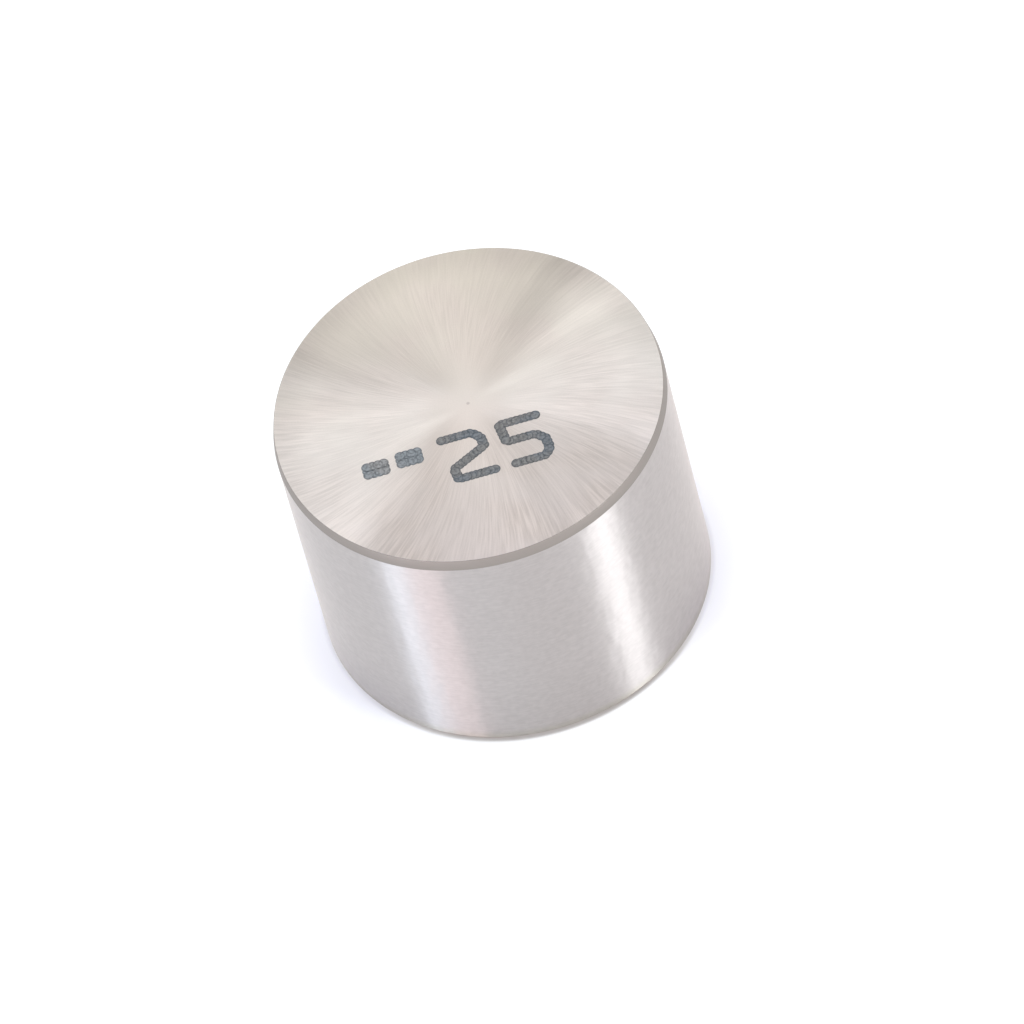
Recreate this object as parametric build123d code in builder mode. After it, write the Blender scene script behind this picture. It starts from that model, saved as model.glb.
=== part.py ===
from build123d import *
import os
from math import radians, tan

# Solid bucket tappet for an overhead-cam engine, one piece of hardened, ground steel.
# It stands on its open rim with the closed crown up. The cam rubs on the crown, the
# skirt slides in the cylinder head's guide bore, and the pad inside bears on the tip
# of the valve stem. The origin is the centre of the open rim's plane, and +Z runs up
# the axis to the crown. Sizes are in millimetres.

os.makedirs("parts", exist_ok=True)

# Driving dimensions
outer_diameter = 30.97  # ground skirt, for a guide bore of 31 mm
overall_height = 22.9  # rim plane to cam face
skirt_wall = 1.25
crown_thickness = 2.45  # cam face to the underside around the pad
pad_diameter = 10.0  # flat face on the valve stem tip
pad_rise = 0.8  # how far the pad stands down from the underside
pad_draft = 20.0  # degrees, slope of the pad's flank

# Edges
lead_in_height = 0.9  # steep taper that leads the crown past the guide's edge
lead_in_depth = 0.18  # what that taper takes off the radius
rim_chamfer = 0.25  # outer edge of the open rim
mouth_chamfer = 0.4  # inner edge of the open rim
corner_radius = 1.5  # inside, between the skirt and the crown
pad_root_radius = 0.55  # inside, between the underside and the pad's flank
pad_edge_radius = 0.2  # around the pad's face

# Radii and heights that follow from them
skirt_radius = outer_diameter / 2
bore_radius = skirt_radius - skirt_wall
cam_face_radius = skirt_radius - lead_in_depth
underside_height = overall_height - crown_thickness
pad_face_height = underside_height - pad_rise
pad_face_radius = pad_diameter / 2
pad_base_radius = pad_face_radius + pad_rise * tan(radians(pad_draft))

# The two rounds on the pad's short flank leave some of it straight
root_round = min(pad_root_radius, 0.7 * pad_rise)
edge_round = min(pad_edge_radius, 0.3 * pad_rise)

# Corners of the half section that get a round, as radius and height
bore_corner = (bore_radius, underside_height)
pad_root = (pad_base_radius, underside_height)
pad_edge = (pad_face_radius, pad_face_height)


def round_corner(section, corner, radius):
    fillet(section.vertices().sort_by_distance(corner)[0], radius=radius)


# The bucket is one turned piece, so its whole half section is swept about Z
with BuildPart() as bucket:
    with BuildSketch(Plane.XZ) as half_section:
        with BuildLine():
            # Outside, from the centre of the cam face down to the rim
            outside = Polyline(
                (0, overall_height),
                (cam_face_radius, overall_height),
                (skirt_radius, overall_height - lead_in_height),
                (skirt_radius, rim_chamfer),
                (skirt_radius - rim_chamfer, 0),
            )
            # Inside, from the rim up the bore and in to the centre of the pad
            inside = Polyline(
                (bore_radius + mouth_chamfer, 0),
                (bore_radius, mouth_chamfer),
                bore_corner,
                pad_root,
                pad_edge,
                (0, pad_face_height),
            )
            Line(outside @ 1, inside @ 0)
            Line(inside @ 1, outside @ 0)
        make_face()
        round_corner(half_section, bore_corner, corner_radius)
        round_corner(half_section, pad_root, root_round)
        round_corner(half_section, pad_edge, edge_round)
    revolve(axis=Axis.Z)

bucket.part.label = "bucket"
export_step(bucket.part, "parts/bucket.step")
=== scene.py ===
import math
import bmesh
import bpy
from mathutils import Matrix, Vector


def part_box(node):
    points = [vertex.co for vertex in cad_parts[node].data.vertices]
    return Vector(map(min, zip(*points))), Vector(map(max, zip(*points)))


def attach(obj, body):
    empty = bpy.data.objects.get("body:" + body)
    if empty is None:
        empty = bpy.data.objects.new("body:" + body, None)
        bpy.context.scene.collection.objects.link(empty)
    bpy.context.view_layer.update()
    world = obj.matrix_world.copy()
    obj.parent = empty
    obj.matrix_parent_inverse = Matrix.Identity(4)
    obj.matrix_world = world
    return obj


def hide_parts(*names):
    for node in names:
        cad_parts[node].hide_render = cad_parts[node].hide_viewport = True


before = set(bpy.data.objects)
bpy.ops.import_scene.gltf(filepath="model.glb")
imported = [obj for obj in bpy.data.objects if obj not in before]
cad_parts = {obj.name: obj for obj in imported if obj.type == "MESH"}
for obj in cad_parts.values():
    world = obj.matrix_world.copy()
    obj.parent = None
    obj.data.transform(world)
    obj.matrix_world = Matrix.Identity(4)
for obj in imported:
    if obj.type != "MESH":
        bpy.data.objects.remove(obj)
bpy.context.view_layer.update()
print("frame loaded")

# Everything is in metres. mm turns the sizes below, given in millimetres, into them.
mm = 0.001
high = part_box("bucket")[1]  # the corner of the bucket's box at the crown's level
crownHeight = high.z
skirtRadius = high.x
same = 0.001 * mm  # two places this near to each other are one


class Socket:
    # One output of a shader node, which can be added, multiplied and so on
    def __init__(self, shader, output):
        self.shader = shader
        self.output = output

    def maths(self, operation, *others):
        return self.shader.node("Math", {"operation": operation}, dict(enumerate((self, *others))))

    def __add__(self, other):
        return self.maths("ADD", other)

    def __sub__(self, other):
        return self.maths("SUBTRACT", other)

    def __rsub__(self, other):
        return self.shader.node("Math", {"operation": "SUBTRACT"}, {0: other, 1: self})

    def __mul__(self, other):
        return self.maths("MULTIPLY", other)

    def __truediv__(self, other):
        return self.maths("DIVIDE", other)

    __radd__ = __add__
    __rmul__ = __mul__

    def fade(self, start, end):  # 0 at start, 1 at end, with soft ends
        limits = {"Value": self, "From Min": start, "From Max": end}
        return self.shader.node("MapRange", {"interpolation_type": "SMOOTHSTEP"}, limits)


class Shader:
    # The nodes of a material or a world
    def __init__(self, owner):
        self.owner = owner
        owner.use_nodes = True
        self.nodes = owner.node_tree.nodes
        self.links = owner.node_tree.links

    def put(self, socket, value):
        if isinstance(value, Socket):
            self.links.new(value.output, socket)
        elif hasattr(value, "__len__") and len(value) == 3 and len(socket.default_value) == 4:
            socket.default_value = (*value, 1)
        else:
            socket.default_value = value

    def node(self, kind, settings=None, inputs=None, output=0):
        made = self.nodes.new("ShaderNode" + kind)
        for name, value in (settings or {}).items():
            setattr(made, name, value)
        for name, value in (inputs or {}).items():
            self.put(made.inputs[name], value)
        return Socket(self, made.outputs[output])

    def vector(self, x, y, z):
        return self.node("CombineXYZ", None, {0: x, 1: y, 2: z})

    def split(self, vector):
        separate = self.nodes.new("ShaderNodeSeparateXYZ")
        self.links.new(vector.output, separate.inputs[0])
        return [Socket(self, output) for output in separate.outputs]

    def noise(self, vector, scale, detail):
        return self.node("TexNoise", None, {"Vector": vector, "Scale": scale, "Detail": detail})

    def turnedNoise(self, cosine, sine, along, pattern):
        # Noise drawn out around the axis, as grinding and turning leave it. A pattern gives how
        # fine it is around and along, its scale and its detail.
        around, fineness, scale, detail = pattern
        place = self.vector(cosine * around, sine * around, along * fineness)
        return self.noise(place, scale, detail)

    def mix(self, factor, first, second):  # sockets 6 and 7 hold the two colours
        return self.node("Mix", {"data_type": "RGBA"}, {0: factor, 6: first, 7: second}, output=2)

    def bump(self, height, distance):
        return self.node("Bump", None, {"Height": height, "Distance": distance, "Strength": 1.0})

    def finish(self, **values):
        for name, value in values.items():
            self.put(self.nodes["Principled BSDF"].inputs[name.replace("_", " ")], value)
        return self.owner

    def roundPlace(self):
        # The angle's cosine and sine, the distance from the axis and the height of a point
        x, y, z = self.split(self.node("TexCoord", output="Object"))
        radius = (x * x + y * y).maths("SQRT").maths("MAXIMUM", same)
        return x / radius, y / radius, radius, z


def newShader(name):
    return Shader(bpy.data.materials.new(name))


def makePiece(name, mesh, materials):
    data = bpy.data.meshes.new(name)
    mesh.to_mesh(data)
    mesh.free()
    for material in materials:
        data.materials.append(material)
    piece = bpy.data.objects.new(name, data)
    bpy.context.scene.collection.objects.link(piece)
    return piece


# The ground crown. A fade's two values are where it starts and where it is complete, here in
# distance from the axis. Edges are the values of a noise between which it goes from 0 to 1.
camFace = {
    "front": (0.70, 0.65, 0.651),  # painted light: the colour goes over from front to back, yellower at the back as a painted warm reflection
    "back": (0.705, 0.666, 0.60),
    "tint": (0.72, 0.652, 0.622),
    "tintShare": 0.5,
    # Shares by which it is darker than the colours above: all of it, and, as painted shade, the rim
    # apart from its front, the outer half and the middle
    "shade": 0.055,
    "paintedRimShade": 0.10,
    "rimFade": (12 * mm, 15.3 * mm),
    "rimFront": (0.2, 0.6),  # where it fades, as shares of the way from front to back
    "paintedOuterShade": 0.025,
    "outerFade": (5 * mm, 11 * mm),
    "paintedMiddleShade": 0.04,
    "middleFade": (4.5 * mm, 0.8 * mm),
    "layCurl": 11.5,  # radians a metre, by which the lay curls away from straight out
    # Noise for the lay, broad and fine: how fine it is along the radius, its scale and detail
    "broadLay": (10, 9, 3),
    "fineLay": (4, 90, 3),
    "broadShare": 0.4,
    "layDepth": 0.016 * mm,
    "layFade": (0.2 * mm, 4 * mm),
    "streak": 0.20,
    "streakEdges": (0.3, 0.7),
    "streakFade": (0.5 * mm, 6 * mm),
    "streakLoss": 0.72,  # the share of the streaks that is lost from front to back
    "patchLoss": 0.5,  # and the share that is lost between the tinted patches
    "patches": (160, 2),
    "patchEdges": (0.35, 0.65),
    "grain": 0.07,
    "grains": (8000, 1),
    # Sectors painted darker or paler, painted shade and painted highlight where the fans of shine fall:
    # direction, half width, darker by
    "paintedSectors": (
        (35, 6, -0.05), (44, 7, 0.035), (56, 9, 0.08), (154, 8, 0.045), (174, 7, -0.05),
        (231, 7, -0.08), (296, 7, 0.06), (341, 8, -0.08),
    ),
    "paintedSectorFade": (4 * mm, 10 * mm),
    "roughness": 0.42,
    "layRoughness": 0.1,
    "middleRoughness": 0.12,
    "anisotropy": 0.9,
    # The direction of its shine in the middle and at the rim, as a share of a full turn
    "innerTurn": 0.027,
    "outerTurn": 0.985,
    "turnFade": (1 * mm, 14 * mm),
    "crossed": 0.93,  # the plain share of the shine in the middle, where the lay crosses itself
    "dotColour": (0.24, 0.19, 0.2),  # the faint spot in the very middle
    "dotShare": 0.35,
    "dotFade": (0.182 * mm, 0.078 * mm),
}


def makeCamFaceSteel():
    shader = newShader("camFaceSteel")
    cosine, sine, radius = shader.roundPlace()[:3]
    curl = radius * camFace["layCurl"]
    along = cosine * curl.maths("COSINE") - sine * curl.maths("SINE")
    across = sine * curl.maths("COSINE") + cosine * curl.maths("SINE")
    broad, fine = [
        shader.noise(shader.vector(along, across, radius * fineness), scale, detail)
        for fineness, scale, detail in (camFace["broadLay"], camFace["fineLay"])
    ]
    lay = broad * camFace["broadShare"] + fine * (1 - camFace["broadShare"])
    back = sine * radius / skirtRadius * 0.5 + 0.5  # 0 at the front rim, 1 at the back
    flat = shader.vector(cosine * radius, sine * radius, 0.0)
    patches = shader.noise(flat, *camFace["patches"]).fade(*camFace["patchEdges"])
    grains = shader.noise(flat, *camFace["grains"])
    middle = radius.fade(*camFace["middleFade"])
    # Painted shade and painted highlight in sectors along the fans of shine
    paintedSectors = 0.0
    for direction, halfWidth, share in camFace["paintedSectors"]:
        turn = math.radians(direction)
        near = along * math.cos(turn) + across * math.sin(turn)
        paintedSectors = near.fade(math.cos(math.radians(halfWidth)), 1.0) * share + paintedSectors
    streaks = fine.fade(*camFace["streakEdges"]) * radius.fade(*camFace["streakFade"])
    streaks = streaks * (1 - back * camFace["streakLoss"])
    streaks = streaks * (patches * camFace["patchLoss"] + (1 - camFace["patchLoss"]))
    # Painted shade on the rim apart from its front, on the outer half, in the sectors and in the
    # middle; the streaks, grain and overall shade are the steel's own
    rim = radius.fade(*camFace["rimFade"]) * back.fade(*camFace["rimFront"])
    dark = streaks * camFace["streak"] + (grains - 0.5) * camFace["grain"] + camFace["shade"]
    dark = dark + rim * camFace["paintedRimShade"] + radius.fade(*camFace["outerFade"]) * camFace["paintedOuterShade"]
    dark = dark + paintedSectors * radius.fade(*camFace["paintedSectorFade"]) + middle * camFace["paintedMiddleShade"]
    # Painted light: the colour warms from front to back, a painted warm reflection
    colour = shader.mix(back, camFace["front"], camFace["back"])
    colour = shader.mix(patches * camFace["tintShare"], colour, camFace["tint"])
    colour = shader.mix(dark, colour, (0.0, 0.0, 0.0))
    dot = radius.fade(*camFace["dotFade"]) * camFace["dotShare"]
    roughness = (lay - 0.5) * camFace["layRoughness"] + middle * camFace["middleRoughness"]
    steel = {
        "Base Color": shader.mix(dot, colour, camFace["dotColour"]),
        "Metallic": 1.0,
        "Roughness": camFace["roughness"] + roughness,
        "Anisotropic": camFace["anisotropy"],
        "Normal": shader.bump(lay * radius.fade(*camFace["layFade"]), camFace["layDepth"]),
    }
    inner, outer = [
        shader.node("BsdfPrincipled", None, {**steel, "Anisotropic Rotation": camFace[turn]})
        for turn in ("innerTurn", "outerTurn")
    ]
    plain = shader.node("BsdfPrincipled", None, {**steel, "Anisotropic": 0.0})
    outwards = radius.fade(*camFace["turnFade"])
    turned = shader.node("MixShader", None, {0: outwards, 1: inner, 2: outer})
    crossed = middle * camFace["crossed"]
    surface = shader.node("MixShader", None, {0: crossed, 1: turned, 2: plain})
    shader.put(shader.nodes["Material Output"].inputs["Surface"], surface)
    shader.nodes.remove(shader.nodes["Principled BSDF"])
    return shader.owner


# The skirt, ground around its axis. Its fades are in height above the open rim.
skirtFinish = {
    "colour": (0.551, 0.518, 0.513),
    "footShadowColour": (0.515, 0.485, 0.45),  # painted shadow: browner and darker at the open rim
    "footShadowFade": (1.2 * mm, 0.3 * mm),
    "shade": 0.045,  # and painted shade, darker towards it
    "paintedShadeFade": (8 * mm, 1 * mm),
    "lay": (6, 2200, 3, 3),
    "streak": 0.06,
    "patches": (3, 200, 10, 2),
    "mottle": 0.055,
    "edges": (0.3, 0.7),
    "roughness": 0.38,
    "layRoughness": 0.08,
    "anisotropy": 1.0,
    "turn": 0.25,  # of its shine, as a share of a full turn
    "waves": (1, 45, 15, 1),
    "waveDepth": 0.03 * mm,
    "layDepth": 0.07,  # as a share of the waves'
}


def makeSkirtSteel():
    shader = newShader("skirtSteel")
    cosine, sine, _, height = shader.roundPlace()
    lay, patches, waves = [
        shader.turnedNoise(cosine, sine, height, skirtFinish[name])
        for name in ("lay", "patches", "waves")
    ]
    # Painted shadow at the open rim, and painted shade that grows towards it
    footShadow = height.fade(*skirtFinish["footShadowFade"])
    colour = shader.mix(footShadow, skirtFinish["colour"], skirtFinish["footShadowColour"])
    dark = lay.fade(*skirtFinish["edges"]) * skirtFinish["streak"]
    dark = dark + patches.fade(*skirtFinish["edges"]) * skirtFinish["mottle"]
    dark = dark + height.fade(*skirtFinish["paintedShadeFade"]) * skirtFinish["shade"]
    return shader.finish(
        Base_Color=shader.mix(dark, colour, (0.0, 0.0, 0.0)),
        Metallic=1.0,
        Roughness=skirtFinish["roughness"] + (lay - 0.5) * skirtFinish["layRoughness"],
        Anisotropic=skirtFinish["anisotropy"],
        Anisotropic_Rotation=skirtFinish["turn"],
        Normal=shader.bump(waves + lay * skirtFinish["layDepth"], skirtFinish["waveDepth"]),
    )


# The turned taper around the crown, and the turned inside
leadInFinish = {
    # The taper's colour is kept dark as painted shade, a dark reflection painted into the steel
    "colour": (0.277, 0.252, 0.236),
    "lay": (1, 4000, 3, 3),
    "layDepth": 0.004 * mm,
    "roughness": 0.5,
    "layRoughness": 0.1,
}
insideFinish = {
    "colour": (0.40, 0.385, 0.37),
    "lay": (0.5, 2500, 3, 3),
    "layDepth": 0.008 * mm,
    "roughness": 0.46,
    "layRoughness": 0.2,
}


def finishTurned(shader, lay, finish):
    return shader.finish(
        Base_Color=finish["colour"],
        Metallic=1.0,
        Roughness=finish["roughness"] + (lay - 0.5) * finish["layRoughness"],
        Normal=shader.bump(lay, finish["layDepth"]),
    )


def makeLeadInSteel():
    shader = newShader("leadInSteel")
    cosine, sine, _, height = shader.roundPlace()
    lay = shader.turnedNoise(cosine, sine, height, leadInFinish["lay"])
    return finishTurned(shader, lay, leadInFinish)


def makeInsideSteel():
    shader = newShader("insideSteel")
    cosine, sine, radius, height = shader.roundPlace()
    lay = shader.turnedNoise(cosine, sine, height + radius, insideFinish["lay"])
    return finishTurned(shader, lay, insideFinish)


# The half section repeats the solid's own, and each corner gets a round: its radius and
# the number of facets across it. Turned edges are only just broken.
section = {
    "steps": 256,
    "wall": 1.25 * mm,
    "crown": 2.45 * mm,
    "padRadius": 5 * mm,
    "padRise": 0.8 * mm,
    "padDraft": 20,
    "leadInHeight": 0.9 * mm,
    "leadInDepth": 0.18 * mm,
    "rimChamfer": 0.25 * mm,
    "mouthChamfer": 0.4 * mm,
    "brokenEdge": (0.035 * mm, 3),
    "boreCorner": (1.5 * mm, 12),
    "padRoot": (0.55 * mm, 8),
    "padEdge": (0.2 * mm, 6),
}


def roundRing(mesh, corner, turn, finish):
    # Rounds the one ring of edges at a radius and height, where the section turns by an angle
    radius, height = corner
    ring = []
    for edge in mesh.edges:
        ends = [Vector((vert.co.xy.length - radius, vert.co.z - height)) for vert in edge.verts]
        if max(end.length for end in ends) < same:
            ring.append(edge)
    bmesh.ops.bevel(
        mesh, geom=ring, affect="EDGES", offset_type="OFFSET", clamp_overlap=True, material=-1,
        offset=finish[0] * math.tan(math.radians(turn) / 2), segments=finish[1], profile=0.5,
    )


def makeBucket(slots):
    boreRadius = skirtRadius - section["wall"]
    underside = crownHeight - section["crown"]
    padFace = underside - section["padRise"]
    padFlare = section["padRise"] * math.tan(math.radians(section["padDraft"]))
    leadInFoot = crownHeight - section["leadInHeight"]
    leadInSlope = math.degrees(math.atan(section["leadInDepth"] / section["leadInHeight"]))
    broken = section["brokenEdge"]
    points = {
        "crownCentre": (0, crownHeight),
        "crownEdge": (skirtRadius - section["leadInDepth"], crownHeight),
        "skirtTop": (skirtRadius, leadInFoot),
        "skirtFoot": (skirtRadius, section["rimChamfer"]),
        "rimOut": (skirtRadius - section["rimChamfer"], 0),
        "rimIn": (boreRadius + section["mouthChamfer"], 0),
        "boreFoot": (boreRadius, section["mouthChamfer"]),
        "boreCorner": (boreRadius, underside),
        "padRoot": (section["padRadius"] + padFlare, underside),
        "padEdge": (section["padRadius"], padFace),
        "padCentre": (0, padFace),
    }
    mesh = bmesh.new()
    verts = [mesh.verts.new((radius, 0, height)) for radius, height in points.values()]
    edges = [mesh.edges.new(pair) for pair in zip(verts, verts[1:])]
    bmesh.ops.spin(
        mesh, geom=verts + edges, cent=(0, 0, 0), axis=(0, 0, 1),
        angle=2 * math.pi, steps=section["steps"], use_merge=True, use_duplicate=False,
    )
    bmesh.ops.remove_doubles(mesh, verts=mesh.verts, dist=same)
    bmesh.ops.recalc_face_normals(mesh, faces=mesh.faces)
    padTurn = 90 - section["padDraft"]
    for name, turn, finish in (
        ("crownEdge", 90 - leadInSlope, broken), ("skirtTop", leadInSlope, broken),
        ("skirtFoot", 45, broken), ("rimOut", 45, broken), ("rimIn", 45, broken),
        ("boreFoot", 45, broken), ("boreCorner", 90, section["boreCorner"]),
        ("padRoot", padTurn, section["padRoot"]), ("padEdge", padTurn, section["padEdge"]),
    ):
        roundRing(mesh, points[name], turn, finish)
    zones = list(slots)
    for face in mesh.faces:
        face.smooth = True
        middle = face.calc_center_median()
        radius = middle.xy.length
        # Only the flat takes the crown's steel: its rounded edge takes the taper's darker steel, which
        # dims the edge's highlight as painted shade
        if middle.z > crownHeight - same:
            zone = "camFace"
        elif middle.z > leadInFoot and radius > boreRadius + section["wall"] / 2:
            zone = "leadIn"
        elif radius > skirtRadius - section["rimChamfer"]:
            zone = "skirt"
        else:
            zone = "inside"
        face.material_index = zones.index(zone)
    piece = makePiece("tappetBody", mesh, slots.values())
    # The flats keep flat normals up to their rounded edges
    weighted = piece.modifiers.new("flatFaces", "WEIGHTED_NORMAL")
    weighted.weight = 100
    weighted.keep_sharp = True
    graph = bpy.context.evaluated_depsgraph_get()
    applied = bpy.data.meshes.new_from_object(piece.evaluated_get(graph))
    piece.modifiers.clear()
    piece.data = applied
    return piece


tappetBody = makeBucket({
    "camFace": makeCamFaceSteel(),
    "leadIn": makeLeadInSteel(),
    "skirt": makeSkirtSteel(),
    "inside": makeInsideSteel(),
})
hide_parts("bucket")
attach(tappetBody, "root")
print("body made:", len(tappetBody.data.polygons), "faces")

# The size mark on the crown is a plain number and two small blocks, in round plates that
# overlap. Strokes run through points of a cell one wide and one high.
sizeMark = {
    "number": "25",
    "dotRadius": 0.42 * mm,
    "dotPitch": 0.38 * mm,
    "dotSides": 20,
    "dotRing": 0.1 * mm,
    "height": 0.014 * mm,
    "step": 0.0015 * mm,
    "levels": 4,  # heights that the plates' tops take in turn, so that neighbours differ
    "digitSize": (2.9 * mm, 4.1 * mm),
    "slant": 0.13,  # how far the digits lean back, as a share of their height
    "digitPlaces": ((-2.5 * mm, -7.0 * mm), (2.1 * mm, -7.0 * mm)),
    "blockPlaces": ((-8.2 * mm, -3.85 * mm), (-5.5 * mm, -3.65 * mm)),
    "blockDots": (4, 3),
    "blockPitch": (0.45 * mm, 0.39 * mm),
}
strokes = {
    "2": ((0, 1), (0.82, 1), (1, 0.84), (1, 0.62), (0, 0.26), (0, 0), (1, 0)),
    "5": ((1, 1), (0, 1), (0, 0.56), (0.8, 0.56), (1, 0.4), (1, 0.16), (0.82, 0), (0, 0)),
}
markFinish = {
    # Two colours that each steel goes between. The middles are paler than the edges.
    "colours": {
        "digitEdge": ((0.125, 0.143, 0.165), (0.148, 0.152, 0.16)),
        "digitMiddle": ((0.18, 0.198, 0.222), (0.218, 0.22, 0.223)),
        "blockEdge": ((0.19, 0.213, 0.235), (0.21, 0.218, 0.228)),
        "blockMiddle": ((0.25, 0.275, 0.30), (0.285, 0.29, 0.30)),
    },
    "patches": (500, 2),
    "patchEdges": (0.4, 0.6),
    "mottle": (4500, 3),
    "mottleEdges": (0.35, 0.7),
    "mottleShade": 0.35,
    "mottleRoughness": 0.15,
    "mottleDepth": 0.01 * mm,
    "metallic": 0.85,
    "roughness": 0.5,
}


def makeMarkSteel(name, cool, warm):
    shader = newShader(name)
    place = shader.node("TexCoord", output="Object")
    mottle = shader.noise(place, *markFinish["mottle"]).fade(*markFinish["mottleEdges"])
    patches = shader.noise(place, *markFinish["patches"]).fade(*markFinish["patchEdges"])
    colour = shader.mix(patches, cool, warm)
    return shader.finish(
        Base_Color=shader.mix(mottle * markFinish["mottleShade"], colour, (0.0, 0.0, 0.0)),
        Metallic=markFinish["metallic"],
        Roughness=markFinish["roughness"] + mottle * markFinish["mottleRoughness"],
        Normal=shader.bump(mottle, markFinish["mottleDepth"]),
    )


def dotsAlong(points, pitch):
    # Points spaced evenly along a broken line
    lengths = [(b - a).length for a, b in zip(points, points[1:])]
    count = round(sum(lengths) / pitch)
    places = []
    for index in range(count + 1):
        left = sum(lengths) * index / count
        for start, end, length in zip(points, points[1:], lengths):
            if left <= length + same:
                places.append(start.lerp(end, left / length))
                break
            left -= length
    return places


def addDot(mesh, place, level, steel):
    # A round plate, whose top has a ring of one steel round a middle of the next
    radius = sizeMark["dotRadius"]
    place = Vector((place.x, place.y, crownHeight - level * sizeMark["step"]))
    dot = bmesh.ops.create_cone(
        mesh, cap_ends=True, segments=sizeMark["dotSides"], radius1=radius, radius2=radius,
        depth=sizeMark["height"], matrix=Matrix.Translation(place),
    )
    faces = {face for vert in dot["verts"] for face in vert.link_faces}
    top = [face for face in faces if face.normal.z > 0.9]
    rings = bmesh.ops.inset_region(mesh, faces=top, thickness=sizeMark["dotRing"])["faces"]
    for face in (*faces, *rings):
        face.material_index = steel
    top[0].material_index = steel + 1


def digitPoint(corner, x, y):
    width, height = sizeMark["digitSize"]
    lean = (0.5 - y) * height * sizeMark["slant"]
    return Vector((corner[0] + x * width + lean, corner[1] + y * height, 0))


def blockPoint(corner, column, row):
    columns, rows = sizeMark["blockDots"]
    across = (column - (columns - 1) / 2) * sizeMark["blockPitch"][0]
    along = (row - (rows - 1) / 2) * sizeMark["blockPitch"][1]
    return Vector((*corner, 0)) + Vector((across, along, 0))


def makeSizeMark():
    steels = list(markFinish["colours"])
    mesh = bmesh.new()
    for digit, corner in zip(sizeMark["number"], sizeMark["digitPlaces"]):
        line = [digitPoint(corner, x, y) for x, y in strokes[digit]]
        for index, dot in enumerate(dotsAlong(line, sizeMark["dotPitch"])):
            addDot(mesh, dot, index % sizeMark["levels"], steels.index("digitEdge"))
    for corner in sizeMark["blockPlaces"]:
        for column in range(sizeMark["blockDots"][0]):
            for row in range(sizeMark["blockDots"][1]):
                level = column % 2 + 2 * (row % 2)
                addDot(mesh, blockPoint(corner, column, row), level, steels.index("blockEdge"))
    materials = [makeMarkSteel(name, *colours) for name, colours in markFinish["colours"].items()]
    return makePiece("sizeMark", mesh, materials)


mark = makeSizeMark()
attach(mark, "root")
print("size mark made")


studio = {
    "floorSize": 3.0,
    "floorColour": (0.55, 0.56, 0.57),
    "floorRoughness": 0.9,
    "floorSpecular": 0.1,
    "floorGlow": 0.6,  # the floor is lit from inside
    # A painted shadow: a dark line runs under the rim, from just outside the skirt, and fades at the
    # sides
    "contactShadowColour": (0.11, 0.05, 0.02),
    "contactShadowShare": 0.05,  # the share by which the floor's own colour is darker in the painted shadow
    "contactShadowFade": (skirtRadius + 0.45 * mm, skirtRadius + 0.02 * mm),
    "contactShadowLoss": 0.75,  # the share of the line that is lost at the sides
    # Beside the tappet the floor takes a faint bluish painted shadow. A side starts and is full at
    # these sines of the angle round the axis.
    "besideShadowColour": (0.73, 0.72, 0.83),
    "besideShadowFade": (skirtRadius + 6 * mm, skirtRadius),
    "sides": (-0.95, -0.45),
    # World light: low down all round, from behind the tappet and everywhere
    "horizonGlow": 5.6,
    "horizonPower": 6,
    "backGlow": 2.8,
    "backPower": 2,
    "allRound": 0.05,
    "horizonColour": (1.0, 0.95, 0.93),
    "leftColour": (0.92, 0.95, 0.98),
    "leftFade": (-0.8, 0.2),
    "backColour": (1.0, 0.98, 0.95),
    "backFade": (0.1, 0.9),
    # Soft lights: azimuth from the camera's side towards +X, elevation, distance, width,
    # height, watts, colour
    "lights": {
        "stripRight": (47, 27, 0.5, 0.12, 0.25, 1.25, (0.95, 0.99, 1.0)),
        "stripLeft": (-58.5, 26, 0.5, 0.03, 0.25, 0.64, (0.75, 0.87, 1.0)),
        "panelLeft": (-43, 12, 0.5, 0.15, 0.25, 0.42, (1.0, 0.75, 0.755)),
        "overLeft": (-30, 70, 0.5, 0.12, 0.12, 0.19, (0.88, 0.95, 1.0)),
        "overhead": (180, 88, 0.5, 0.25, 0.25, 0.46, (0.88, 0.95, 1.0)),
    },
}


def makePaleFloor():
    shader = newShader("paleFloor")
    sine, radius = shader.roundPlace()[1:3]
    side = sine.fade(*studio["sides"])
    # Painted shadow, bluish, on the floor beside the tappet
    beside = side * radius.fade(*studio["besideShadowFade"])
    glow = shader.mix(beside, (1.0, 1.0, 1.0), studio["besideShadowColour"])
    # Painted shadow: the floor's glow turns dark under the rim
    under = radius.fade(*studio["contactShadowFade"]) * (1 - side * studio["contactShadowLoss"])
    return shader.finish(
        Base_Color=shader.mix(under * studio["contactShadowShare"], studio["floorColour"], (0.0, 0.0, 0.0)),
        Roughness=studio["floorRoughness"],
        Specular_IOR_Level=studio["floorSpecular"],
        Emission_Color=shader.mix(under, glow, studio["contactShadowColour"]),
        Emission_Strength=studio["floorGlow"],
    )


def makeFloor():
    mesh = bmesh.new()
    bmesh.ops.create_grid(mesh, x_segments=1, y_segments=1, size=studio["floorSize"] / 2)
    makePiece("floor", mesh, [makePaleFloor()])


def makeLight(name, azimuth, elevation, distance, width, height, watts, colour):
    data = bpy.data.lights.new(name, "AREA")
    data.shape = "RECTANGLE"
    data.size = width
    data.size_y = height
    data.energy = watts
    data.color = colour
    light = bpy.data.objects.new(name, data)
    bpy.context.scene.collection.objects.link(light)
    turn, tilt = math.radians(azimuth), math.radians(elevation)
    level = math.cos(tilt)
    out = Vector((math.sin(turn) * level, -math.cos(turn) * level, math.sin(tilt)))
    target = Vector((0, 0, crownHeight / 2))
    light.location = target + out * distance
    light.rotation_euler = (-out).to_track_quat("-Z", "Y").to_euler()


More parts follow.
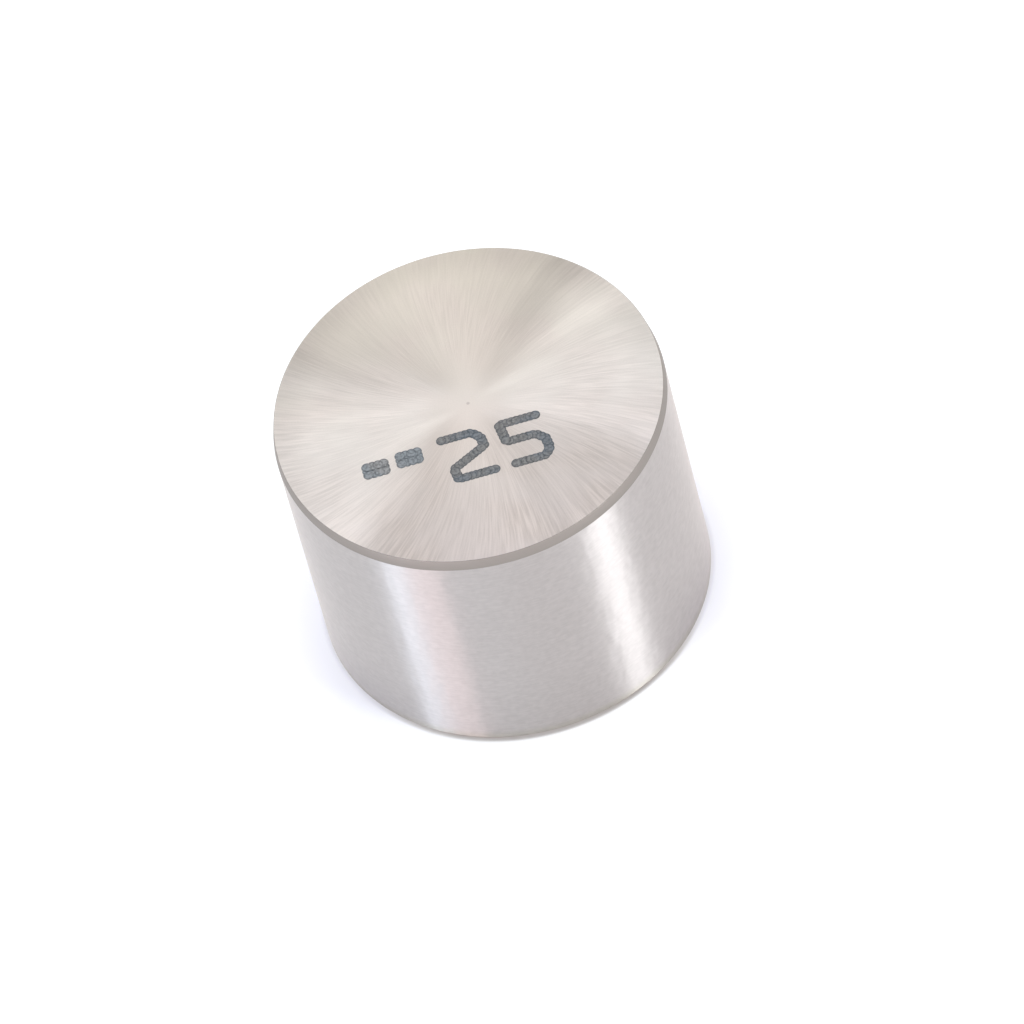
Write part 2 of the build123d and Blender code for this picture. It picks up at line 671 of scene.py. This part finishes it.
def makeWorld():
    world = bpy.data.worlds.new("studioWorld")
    bpy.context.scene.world = world
    world.use_nodes = True
    sky = Shader(world)
    x, y, z = sky.split(sky.node("TexCoord", output="Generated"))
    glow = (1 - z.maths("ABSOLUTE")).maths("POWER", studio["horizonPower"]) * studio["horizonGlow"]
    behind = y.maths("MAXIMUM", 0).maths("POWER", studio["backPower"])
    glow = glow + behind * studio["backGlow"] + studio["allRound"]
    sky.put(sky.nodes["Background"].inputs["Strength"], glow)
    colour = sky.mix(x.fade(*studio["leftFade"]), studio["leftColour"], studio["horizonColour"])
    colour = sky.mix(y.fade(*studio["backFade"]), colour, studio["backColour"])
    sky.put(sky.nodes["Background"].inputs["Color"], colour)


# The camera stands far back with a long lens. Offsets are of the crown's centre from the
# middle of the picture, in skirt radii, right and down.
view = {
    "elevation": 51.42,
    "roll": 15.58,
    "distance": 60.0,
    "focalPixels": 12011.6,
    "offset": (-0.21973, -0.54291),
    "pictureWidth": 1024,
    "sensor": 36.0,
    "nearest": 0.05,  # nothing nearer than this is drawn
}


def makeCamera():
    tilt, roll = math.radians(view["elevation"]), math.radians(view["roll"])
    forward = Vector((0, math.cos(tilt), -math.sin(tilt)))
    right = Matrix.Rotation(roll, 3, forward) @ Vector((1, 0, 0))
    down = forward.cross(right)
    across, along = view["offset"]
    place = Vector((0, 0, crownHeight))
    place -= (forward * view["distance"] + right * across + down * along) * skirtRadius
    data = bpy.data.cameras.new("camera")
    data.sensor_width = view["sensor"]
    data.lens = view["focalPixels"] / view["pictureWidth"] * view["sensor"]
    data.clip_start = view["nearest"]
    camera = bpy.data.objects.new("camera", data)
    bpy.context.scene.collection.objects.link(camera)
    facing = Matrix((right, -down, -forward)).transposed()
    camera.matrix_world = Matrix.Translation(place) @ facing.to_4x4()
    bpy.context.scene.camera = camera


makeFloor()
makeWorld()
for name, values in studio["lights"].items():
    makeLight(name, *values)
makeCamera()
bpy.context.scene.view_settings.view_transform = "Standard"
print("studio and camera made")
